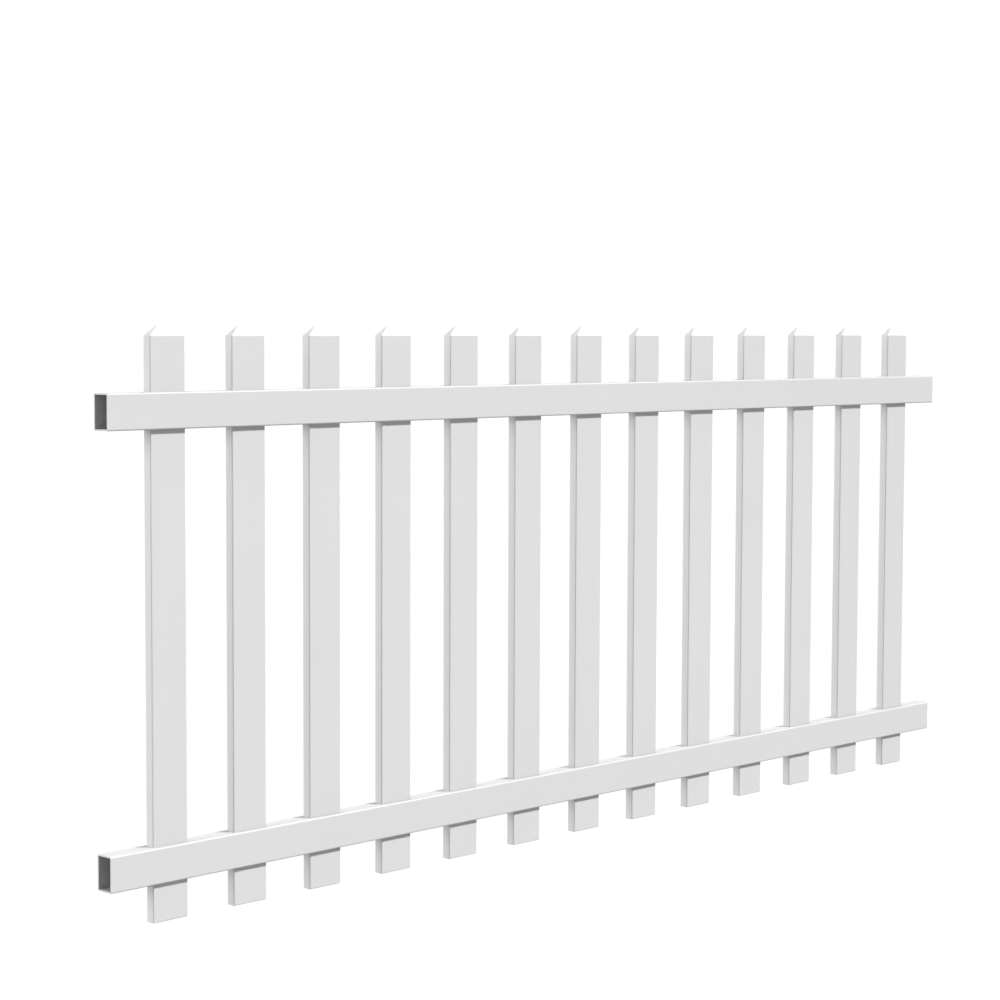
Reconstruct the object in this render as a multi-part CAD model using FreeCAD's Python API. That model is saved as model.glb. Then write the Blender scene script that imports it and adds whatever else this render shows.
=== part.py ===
import FreeCAD, Part
import math
import os

from FreeCAD import Vector

# A white vinyl picket fence panel. Two hollow rails are slotted right through, top and
# bottom, for a row of hollow pickets, and a hipped cap plugs into the head of each picket.
# The origin is the centre of the bottom rail's left end. +X runs along the rails, +Y is
# towards the back of the panel and +Z is up. Sizes are in millimetres.

# Rails: rectangular extrusions, cut square and open at both ends
rail_height = 63.5
rail_depth = 38.1
rail_wall = 2.8
rail_corner = 3.0
rail_spacing = 782.0
rail_overhang = 134.5

# Pickets: flat extrusions that stand in the rails' slots, at mid-depth
picket_count = 13
picket_spacing = 180.0
picket_width = 76.2
picket_depth = 19.05
picket_wall = 1.5
picket_corner = 2.5
picket_foot = 100.5
picket_head = 127.0
foot_chamfer = 1.0
slot_clearance = 0.3

# Caps: thin mouldings, flush with the picket, with a tapered skirt that plugs into it and
# upright ribs on the skirt that grip the picket's walls
cap_rise = 21.5
cap_run = 25.0
cap_wall = 1.5
cap_edge = 1.8
skirt_length = 19.0
skirt_wall = 1.4
skirt_inset = 0.4
skirt_clearance = 0.2
rib_spacing = 38.0
rib_width = 1.6
rib_length = 14.0

# Heights, measured from the bottom rail's centre line
foot_z = -picket_foot
seat_z = rail_spacing + picket_head
rail_length = 2 * rail_overhang + (picket_count - 1) * picket_spacing


def bar(width, depth, bottom, top, corner=0.0):
    """An upright bar of rectangular section about the Z axis, with rounded upright edges."""
    block = Part.makeBox(width, depth, top - bottom, Vector(-width / 2, -depth / 2, bottom))
    if corner == 0:
        return block
    upright = [edge for edge in block.Edges if abs(edge.tangentAt(edge.FirstParameter).z) > 0.5]
    return block.makeFillet(corner, upright)


def picket_x(number):
    """The place of a picket's centre line along the rails, counted from 0 at the left."""
    return rail_overhang + number * picket_spacing


def rail(centre_z):
    """A hollow rail with a slot for each picket through its upper and lower walls."""
    outside = bar(rail_height, rail_depth, 0, rail_length, rail_corner)
    hollow = bar(rail_height - 2 * rail_wall, rail_depth - 2 * rail_wall, 0, rail_length)
    extrusion = outside.cut(hollow)
    extrusion.rotate(Vector(0, 0, 0), Vector(0, 1, 0), 90)
    slot = bar(
        picket_width + 2 * slot_clearance,
        picket_depth + 2 * slot_clearance,
        -rail_height,
        rail_height,
    )
    slots = [slot.translated(Vector(picket_x(number), 0, 0)) for number in range(picket_count)]
    return extrusion.cut(slots).translated(Vector(0, 0, centre_z))


def picket():
    """A picket at X = 0, open at both ends, with its foot eased to enter the slots."""
    outside = bar(picket_width, picket_depth, foot_z, seat_z, picket_corner)
    foot_rim = [edge for edge in outside.Edges if edge.CenterOfMass.z < foot_z + foot_chamfer]
    eased = outside.makeChamfer(foot_chamfer, foot_rim)
    return eased.cut(bar(picket_width - 2 * picket_wall, picket_depth - 2 * picket_wall, foot_z, seat_z))


def pushed_profile(points, along):
    """A solid made by pushing a closed profile half of along to each side of its own plane."""
    face = Part.Face(Part.makePolygon(points + points[:1]))
    face.translate(along * -0.5)
    return face.extrude(along)


def hip_roof(inset, bottom):
    """The space under the cap's four slopes, each moved in by inset, down to height bottom.

    The seat is at height 0. Both ends rise over cap_run, and the front and the back meet in a
    level ridge at mid-depth.
    """
    half_depth = picket_depth / 2
    x = picket_width / 2 - inset * math.hypot(cap_run, cap_rise) / cap_rise
    y = half_depth - inset * math.hypot(half_depth, cap_rise) / cap_rise
    ridge = cap_rise * y / half_depth
    run = cap_run * y / half_depth
    front_view = [
        Vector(-x, 0, bottom),
        Vector(x, 0, bottom),
        Vector(x, 0, 0),
        Vector(x - run, 0, ridge),
        Vector(run - x, 0, ridge),
        Vector(-x, 0, 0),
    ]
    side_view = [
        Vector(0, -y, bottom),
        Vector(0, y, bottom),
        Vector(0, y, 0),
        Vector(0, 0, ridge),
        Vector(0, -y, 0),
    ]
    through_depth = pushed_profile(front_view, Vector(0, picket_depth, 0))
    through_width = pushed_profile(side_view, Vector(picket_width, 0, 0))
    return through_depth.common(through_width)


def rounded_roof():
    """The cap's solid top on the picket's outline, with its hips and ridge rounded."""
    roof = hip_roof(0, -cap_rise)
    hips_and_ridge = [edge for edge in roof.Edges if edge.BoundBox.ZMax > cap_rise / 2]
    softened = roof.makeFillet(cap_edge, hips_and_ridge)
    return softened.common(bar(picket_width, picket_depth, 0, cap_rise, picket_corner))


def rectangle(width, depth, z):
    """A closed rectangular wire about the Z axis."""
    x = width / 2
    y = depth / 2
    corners = [Vector(-x, -y, z), Vector(x, -y, z), Vector(x, y, z), Vector(-x, y, z)]
    return Part.makePolygon(corners + corners[:1])


def skirt():
    """The cap's tapered plug, solid, with a pair of grip ribs on its front and its back."""
    width = picket_width - 2 * (picket_wall + skirt_clearance)
    depth = picket_depth - 2 * (picket_wall + skirt_clearance)
    tip = rectangle(width - 2 * skirt_inset, depth - 2 * skirt_inset, -skirt_length)
    plug = Part.makeLoft([rectangle(width, depth, 0), tip], True, True)
    rib = bar(rib_width, picket_depth - 2 * picket_wall, -rib_length, 0)
    ribs = [rib.translated(Vector(side * rib_spacing / 2, 0, 0)) for side in (-1, 1)]
    return plug.fuse(ribs)


def cap():
    """A cap with its seat at height 0: a hipped top and a ribbed skirt, hollow from below."""
    inset = picket_wall + skirt_clearance + skirt_inset + skirt_wall
    core = bar(picket_width - 2 * inset, picket_depth - 2 * inset, -skirt_length, cap_rise)
    hollow = core.common(hip_roof(cap_wall, -skirt_length))
    return rounded_roof().fuse(skirt()).cut(hollow)


def export(shape, node):
    shape.exportStep("parts/" + node + ".step")


os.makedirs("parts", exist_ok=True)
export(rail(0), "bottom_rail")
export(rail(rail_spacing), "top_rail")
one_picket = picket()
one_cap = cap()
for number in range(picket_count):
    stand = Vector(picket_x(number), 0, 0)
    seat = Vector(picket_x(number), 0, seat_z)
    export(one_picket.translated(stand), f"picket_{number + 1:02d}")
    export(one_cap.translated(seat), f"picket_cap_{number + 1:02d}")
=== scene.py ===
import math

import bpy
from mathutils import Matrix, Vector


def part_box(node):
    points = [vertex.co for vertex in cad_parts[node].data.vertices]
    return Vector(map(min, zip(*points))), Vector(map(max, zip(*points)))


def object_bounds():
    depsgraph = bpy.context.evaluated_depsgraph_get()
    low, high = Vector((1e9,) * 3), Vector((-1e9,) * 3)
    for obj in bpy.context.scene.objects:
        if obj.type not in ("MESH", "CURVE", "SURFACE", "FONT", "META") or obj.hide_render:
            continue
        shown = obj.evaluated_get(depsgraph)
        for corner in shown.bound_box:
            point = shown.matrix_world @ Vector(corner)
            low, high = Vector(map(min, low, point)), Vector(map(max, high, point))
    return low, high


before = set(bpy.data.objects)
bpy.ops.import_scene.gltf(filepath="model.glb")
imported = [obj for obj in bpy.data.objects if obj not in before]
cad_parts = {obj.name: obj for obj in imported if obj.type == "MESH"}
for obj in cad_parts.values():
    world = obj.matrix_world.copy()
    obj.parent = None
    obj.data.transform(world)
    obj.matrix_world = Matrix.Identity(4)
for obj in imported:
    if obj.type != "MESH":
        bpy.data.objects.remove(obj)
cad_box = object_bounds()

# A white vinyl picket fence panel, seen from its left front in a bright studio.
# Lengths are in metres, in the frame of the model: +X along the rails, +Y to the back, +Z up.

# The axes along which the rails and the pickets run
X_AXIS = 0
Z_AXIS = 2

# The pieces of the panel
RAILS = sorted(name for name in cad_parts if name.endswith("_rail"))
CAPS = sorted(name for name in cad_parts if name.startswith("picket_cap_"))
PICKETS = sorted(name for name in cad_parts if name.startswith("picket_") and name not in CAPS)

# The camera, placed from the first picket's centre line and foot
IMAGE_WIDTH = 1000
FOCAL_PIXELS = 2450.3
SENSOR_WIDTH = 36.0
CAMERA_FROM_PICKET = Vector((-2.6259, -3.3145, 1.0275))
CAMERA_YAW = math.radians(46.193)
CAMERA_PITCH = math.radians(-4.051)
CAMERA_ROLL = math.radians(0.197)

# The lights, as if from far away: bearing from straight in front of the panel towards its
# right, elevation, the angle that the light fills, its strength, and how often its light is
# passed on from one surface to the next
LIGHTS = {
    "key": (41.0, 38.0, 5.0, 3.31, 0),
    "rim": (-120.0, 15.0, 60.0, 1.41, 0),
    "left": (-95.0, 15.0, 30.0, 0.53, 0),
    "right": (110.0, 35.0, 70.0, 0.39, 8),
    "back": (180.0, 15.0, 40.0, 0.55, 0),
    "under": (0.0, -88.0, 30.0, 0.25, 0),
}
SKY_STRENGTH = 0.31

# The stage: a floor a little below the pickets' feet, and a dome all round
STAGE_GLOW = 1.05
DOME_RADIUS = 40.0
DOME_SEGMENTS = 48
DOME_RINGS = 24
FLOOR_SIZE = 30.0
FLOOR_DROP = 0.05

# Vinyl: reflectance of the white skin, and a darker reflectance inside the hollows that is painted shade
SKIN_TONE = 0.80
# Painted shade: the colour inside the hollows is darkened in place of the shade there
PAINTED_HOLLOW_SHADE_TONE = 0.60
MOTTLE_SPREAD = 0.024
STREAK_SPREAD = 0.012
PIECE_SPREAD = 0.008

# Vinyl: gloss of the extruded skin, of sawn ends and the insides of the hollows, and of the moulded caps
VINYL_IOR = 1.53
SKIN_ROUGHNESS = 0.42
DULL_ROUGHNESS = 0.65
MOULDED_ROUGHNESS = 0.48
SKIN_ROUGHNESS_SPREAD = 0.10
FLOW_ROUGHNESS_SPREAD = 0.12
PEEL_ROUGHNESS_SPREAD = 0.06

# Sections of the extrusions, as in the model, and the shares of the wall's depth over which the skin gives
# way to the painted shade and duller gloss inside the hollows
RAIL_WALL = 0.0028
RAIL_CORNER = 0.003
PICKET_WALL = 0.0015
PICKET_CORNER = 0.0025
HOLLOW_SHADE_AND_DULL_START = 0.90
HOLLOW_SHADE_AND_DULL_END = 0.98

# How squarely a face has to look along the extrusion before it counts as a sawn end
CUT_START = 0.85
CUT_END = 0.95

# Relief of the surfaces: width of each mark and how high it stands
DIE_LINE_WIDTH = 0.0011
DIE_LINE_HEIGHT = 0.000008
DIE_LINE_LENGTH = 0.45
WAVE_WIDTH = 0.014
WAVE_HEIGHT = 0.00004
WAVE_LENGTH = 0.9
PEEL_WIDTH = 0.0016
PEEL_HEIGHT = 0.000006
MOTTLE_WIDTH = 0.22
MOTTLE_DETAIL = 4.0
MOULDED_DETAIL = 3.0
SAW_RADIUS = 0.15
SAW_PITCH = 0.0013
SAW_HEIGHT = 0.00003

# Softening of the sharp edges. The caps come with their hips and ridge rounded already.
WELD_DISTANCE = 0.00001
EDGE_SOFTENING = 0.00015
EDGE_SEGMENTS = 2
EDGE_ANGLE = math.radians(40)

panel_low = cad_box[0]
panel_high = cad_box[1]
panel_centre = (Vector(panel_low) + Vector(panel_high)) / 2


def add_camera():
    """The camera, placed from the first picket and turned by its yaw, pitch and roll."""
    low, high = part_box("picket_01")
    foot = Vector(((low.x + high.x) / 2, (low.y + high.y) / 2, low.z))
    forward = Vector((
        math.sin(CAMERA_YAW) * math.cos(CAMERA_PITCH),
        math.cos(CAMERA_YAW) * math.cos(CAMERA_PITCH),
        math.sin(CAMERA_PITCH),
    ))
    level_right = Vector((math.cos(CAMERA_YAW), -math.sin(CAMERA_YAW), 0.0))
    level_up = level_right.cross(forward)
    right = math.cos(CAMERA_ROLL) * level_right + math.sin(CAMERA_ROLL) * level_up
    up = -math.sin(CAMERA_ROLL) * level_right + math.cos(CAMERA_ROLL) * level_up
    turn = Matrix((right, up, -forward)).transposed()
    lens = bpy.data.cameras.new("camera")
    lens.sensor_width = SENSOR_WIDTH
    lens.lens = SENSOR_WIDTH * FOCAL_PIXELS / IMAGE_WIDTH
    lens.clip_end = DOME_RADIUS * 3
    camera = bpy.data.objects.new("camera", lens)
    camera.matrix_world = Matrix.Translation(foot + CAMERA_FROM_PICKET) @ turn.to_4x4()
    bpy.context.scene.collection.objects.link(camera)
    bpy.context.scene.camera = camera


def add_light(name, bearing, elevation, angle, strength, bounces):
    """One light of the list, pointed at the middle of the panel."""
    data = bpy.data.lights.new(name, "SUN")
    data.energy = strength
    data.angle = math.radians(angle)
    data.cycles.max_bounces = bounces
    light = bpy.data.objects.new(name, data)
    turn = math.radians(bearing)
    rise = math.radians(elevation)
    away = Vector((math.sin(turn) * math.cos(rise), -math.cos(turn) * math.cos(rise), math.sin(rise)))
    light.location = panel_centre + away * DOME_RADIUS / 2
    light.rotation_euler = away.to_track_quat("Z", "Y").to_euler()
    bpy.context.scene.collection.objects.link(light)


def add_lights():
    for name, setting in LIGHTS.items():
        add_light(name, *setting)
    sky = bpy.data.worlds.new("sky")
    sky.use_nodes = True
    background = sky.node_tree.nodes["Background"]
    background.inputs["Color"].default_value = (1, 1, 1, 1)
    background.inputs["Strength"].default_value = SKY_STRENGTH
    bpy.context.scene.world = sky
    bpy.context.scene.view_settings.view_transform = "Standard"


def glowing(name):
    """A plain white material that gives its own light, for the floor and the backdrop."""
    material = bpy.data.materials.new(name)
    material.use_nodes = True
    nodes = material.node_tree.nodes
    nodes.remove(nodes["Principled BSDF"])
    emission = nodes.new("ShaderNodeEmission")
    emission.inputs["Strength"].default_value = STAGE_GLOW
    material.node_tree.links.new(emission.outputs["Emission"], nodes["Material Output"].inputs["Surface"])
    return material


def seen_by_camera_alone(piece):
    """Keep a piece of the stage from lighting or shading the panel."""
    piece.visible_diffuse = False
    piece.visible_glossy = False
    piece.visible_transmission = False
    piece.visible_shadow = False


def add_stage():
    """A pale floor a little below the pickets' feet and a white backdrop all round."""
    bpy.ops.mesh.primitive_plane_add(size=FLOOR_SIZE)
    floor = bpy.context.object
    floor.name = "floor"
    floor.location = (panel_centre.x, panel_centre.y, panel_low[2] - FLOOR_DROP)
    floor.data.materials.append(glowing("white_floor"))
    bpy.ops.mesh.primitive_uv_sphere_add(segments=DOME_SEGMENTS, ring_count=DOME_RINGS, radius=DOME_RADIUS)
    dome = bpy.context.object
    dome.name = "backdrop"
    dome.location = panel_centre
    dome.data.materials.append(glowing("white_backdrop"))
    for piece in (floor, dome):
        seen_by_camera_alone(piece)


class Recipe:
    """The node tree of one vinyl material, built up step by step."""

    def __init__(self, name):
        self.material = bpy.data.materials.new(name)
        self.material.use_nodes = True
        self.tree = self.material.node_tree
        self.shader = self.tree.nodes["Principled BSDF"]
        self.shader.inputs["IOR"].default_value = VINYL_IOR
        place = self.tree.nodes.new("ShaderNodeTexCoord")
        self.position = place.outputs["Object"]
        self.normal = place.outputs["Normal"]

    def feed(self, socket, value):
        if isinstance(value, bpy.types.NodeSocket):
            self.tree.links.new(value, socket)
        else:
            socket.default_value = value

    def maths(self, operation, first, second=0.0):
        node = self.tree.nodes.new("ShaderNodeMath")
        node.operation = operation
        self.feed(node.inputs[0], first)
        self.feed(node.inputs[1], second)
        return node.outputs["Value"]

    def total(self, values):
        result = values[0]
        for value in values[1:]:
            result = self.maths("ADD", result, value)
        return result

    def parts_of(self, vector):
        node = self.tree.nodes.new("ShaderNodeSeparateXYZ")
        self.feed(node.inputs["Vector"], vector)
        return node.outputs

    def noise(self, widths, detail=2.0):
        """Noise from 0 to 1 whose marks have these widths along X, Y and Z."""
        stretch = self.tree.nodes.new("ShaderNodeVectorMath")
        stretch.operation = "DIVIDE"
        self.feed(stretch.inputs[0], self.position)
        stretch.inputs[1].default_value = widths
        texture = self.tree.nodes.new("ShaderNodeTexNoise")
        texture.inputs["Scale"].default_value = 1.0
        texture.inputs["Detail"].default_value = detail
        self.feed(texture.inputs["Vector"], stretch.outputs["Vector"])
        return texture.outputs["Fac"]

    def spread(self, value, amount):
        """Turn 0 to 1 into a swing of the whole width amount about 0."""
        return self.maths("MULTIPLY", self.maths("SUBTRACT", value, 0.5), amount)

    def ramp(self, value, low, high, start, end):
        """Carry value from low to high over to start to end, with soft ends."""
        node = self.tree.nodes.new("ShaderNodeMapRange")
        node.interpolation_type = "SMOOTHSTEP"
        self.feed(node.inputs["Value"], value)
        node.inputs["From Min"].default_value = low
        node.inputs["From Max"].default_value = high
        self.feed(node.inputs["To Min"], start)
        self.feed(node.inputs["To Max"], end)
        return node.outputs["Result"]

    def piece_tone(self):
        """A slight difference in tone from one piece to the next."""
        info = self.tree.nodes.new("ShaderNodeObjectInfo")
        return self.spread(info.outputs["Random"], PIECE_SPREAD)

    def colour(self, tone):
        grey = self.tree.nodes.new("ShaderNodeCombineColor")
        for channel in ("Red", "Green", "Blue"):
            self.feed(grey.inputs[channel], tone)
        self.feed(self.shader.inputs["Base Color"], grey.outputs["Color"])

    def roughness(self, value):
        self.feed(self.shader.inputs["Roughness"], value)

    def relief(self, height):
        """Raise the surface by a height in metres."""
        bump = self.tree.nodes.new("ShaderNodeBump")
        bump.inputs["Distance"].default_value = 1.0
        self.feed(bump.inputs["Height"], height)
        self.feed(self.shader.inputs["Normal"], bump.outputs["Normal"])


def along_axis(axis, along, across):
    """Widths along X, Y and Z for marks that are drawn out along one axis."""
    widths = [across, across, across]
    widths[axis] = along
    return widths


def skin_depth(recipe, axis, first, second, corner):
    """Depth below the outside of an extrusion along an axis.

    One recipe serves all the pieces, which repeat at the step from the piece first to second.
    """
    low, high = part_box(first)
    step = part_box(second)[0] - low
    repeat = max(range(3), key=lambda side: abs(step[side]))
    position = recipe.parts_of(recipe.position)
    reach = []
    for side in range(3):
        if side == axis:
            continue
        offset = recipe.maths("SUBTRACT", position[side], (low[side] + high[side]) / 2)
        if side == repeat:
            offset = recipe.maths("PINGPONG", offset, step[side] / 2)
        else:
            offset = recipe.maths("ABSOLUTE", offset)
        reach.append(recipe.maths("SUBTRACT", offset, (high[side] - low[side]) / 2 - corner))
    beyond = [recipe.maths("POWER", recipe.maths("MAXIMUM", value, 0.0), 2.0) for value in reach]
    round_part = recipe.maths("SQRT", recipe.total(beyond))
    flat_part = recipe.maths("MINIMUM", recipe.maths("MAXIMUM", *reach), 0.0)
    return recipe.maths("SUBTRACT", corner, recipe.maths("ADD", round_part, flat_part))


def saw_marks(recipe, axis):
    """Shallow arcs that a saw blade leaves across a cut end, and where such ends are."""
    position = recipe.parts_of(recipe.position)
    sides = [side for side in range(3) if side != axis]
    from_hub = [recipe.maths("POWER", recipe.maths("ADD", position[side], SAW_RADIUS), 2.0) for side in sides]
    radius = recipe.maths("SQRT", recipe.total(from_hub))
    arcs = recipe.maths("SINE", recipe.maths("MULTIPLY", radius, 2 * math.pi / SAW_PITCH))
    facing = recipe.maths("ABSOLUTE", recipe.parts_of(recipe.normal)[axis])
    cut = recipe.ramp(facing, CUT_START, CUT_END, 0.0, 1.0)
    marks = recipe.maths("MULTIPLY", recipe.maths("MULTIPLY", arcs, cut), SAW_HEIGHT)
    return marks, cut


def extruded_vinyl(name, axis, first, second, wall, corner):
    """White vinyl pushed through a die along one axis, with sawn ends, and painted shade and a duller gloss
    inside the hollows.
    """
    recipe = Recipe(name)
    depth = skin_depth(recipe, axis, first, second, corner)
    # Mask of the faces inside the hollows, which get painted shade in their colour and a duller gloss
    hollow_shade_and_dull = recipe.ramp(depth, wall * HOLLOW_SHADE_AND_DULL_START, wall * HOLLOW_SHADE_AND_DULL_END, 0.0, 1.0)
    die_lines = recipe.noise(along_axis(axis, DIE_LINE_LENGTH, DIE_LINE_WIDTH))
    waves = recipe.noise(along_axis(axis, WAVE_LENGTH, WAVE_WIDTH))
    peel = recipe.noise([PEEL_WIDTH] * 3)
    mottle = recipe.noise([MOTTLE_WIDTH] * 3, MOTTLE_DETAIL)
    marks, cut = saw_marks(recipe, axis)
    variation = recipe.total([
        recipe.spread(mottle, MOTTLE_SPREAD),
        recipe.spread(waves, STREAK_SPREAD),
        recipe.piece_tone(),
    ])
    # The inside of the hollows is coloured darker: painted shade
    base = recipe.ramp(hollow_shade_and_dull, 0.0, 1.0, SKIN_TONE, PAINTED_HOLLOW_SHADE_TONE)
    recipe.colour(recipe.maths("ADD", base, variation))
    polish = recipe.total([
        recipe.spread(die_lines, SKIN_ROUGHNESS_SPREAD),
        recipe.spread(mottle, SKIN_ROUGHNESS_SPREAD),
        SKIN_ROUGHNESS,
    ])
    dull = recipe.maths("MAXIMUM", cut, hollow_shade_and_dull)
    recipe.roughness(recipe.ramp(dull, 0.0, 1.0, polish, DULL_ROUGHNESS))
    recipe.relief(recipe.total([
        recipe.maths("MULTIPLY", die_lines, DIE_LINE_HEIGHT),
        recipe.maths("MULTIPLY", waves, WAVE_HEIGHT),
        recipe.maths("MULTIPLY", peel, PEEL_HEIGHT),
        marks,
    ]))
    return recipe.material


def moulded_vinyl(name):
    """White moulded vinyl, a little more matt than the extrusions."""
    recipe = Recipe(name)
    peel = recipe.noise([PEEL_WIDTH] * 3, MOULDED_DETAIL)
    flow = recipe.noise([WAVE_WIDTH] * 3, MOULDED_DETAIL)
    variation = recipe.total([
        recipe.spread(flow, STREAK_SPREAD),
        recipe.piece_tone(),
    ])
    recipe.colour(recipe.maths("ADD", SKIN_TONE, variation))
    recipe.roughness(recipe.total([
        recipe.spread(flow, FLOW_ROUGHNESS_SPREAD),
        recipe.spread(peel, PEEL_ROUGHNESS_SPREAD),
        MOULDED_ROUGHNESS,
    ]))
    recipe.relief(recipe.total([
        recipe.maths("MULTIPLY", peel, PEEL_HEIGHT),
        recipe.maths("MULTIPLY", flow, WAVE_HEIGHT),
    ]))
    return recipe.material


def join_faces(piece, softening):
    """Weld the faces, round the sharp edges by softening, and shade the flat faces flat.

    Without softening the sharp edges stay crisp.
    """
    weld = piece.modifiers.new("weld", "WELD")
    weld.merge_threshold = WELD_DISTANCE
    if softening > 0:
        bevel = piece.modifiers.new("bevel", "BEVEL")
        bevel.width = softening
        bevel.segments = EDGE_SEGMENTS
        bevel.limit_method = "ANGLE"
        bevel.angle_limit = EDGE_ANGLE
    else:
        split = piece.modifiers.new("split", "EDGE_SPLIT")
        split.split_angle = EDGE_ANGLE
    piece.modifiers.new("normals", "WEIGHTED_NORMAL")


def dress(names, material, softening=0.0):
    """Give the pieces of these names their material and their edges."""
    for name in names:
        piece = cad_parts[name]
        piece.data.materials.clear()
        piece.data.materials.append(material)
        join_faces(piece, softening)


add_camera()
add_lights()
add_stage()
rail_vinyl = extruded_vinyl("rail_vinyl", X_AXIS, "bottom_rail", "top_rail", RAIL_WALL, RAIL_CORNER)
picket_vinyl = extruded_vinyl("picket_vinyl", Z_AXIS, "picket_01", "picket_02", PICKET_WALL, PICKET_CORNER)
dress(RAILS, rail_vinyl, EDGE_SOFTENING)
dress(PICKETS, picket_vinyl, EDGE_SOFTENING)
dress(CAPS, moulded_vinyl("cap_vinyl"))
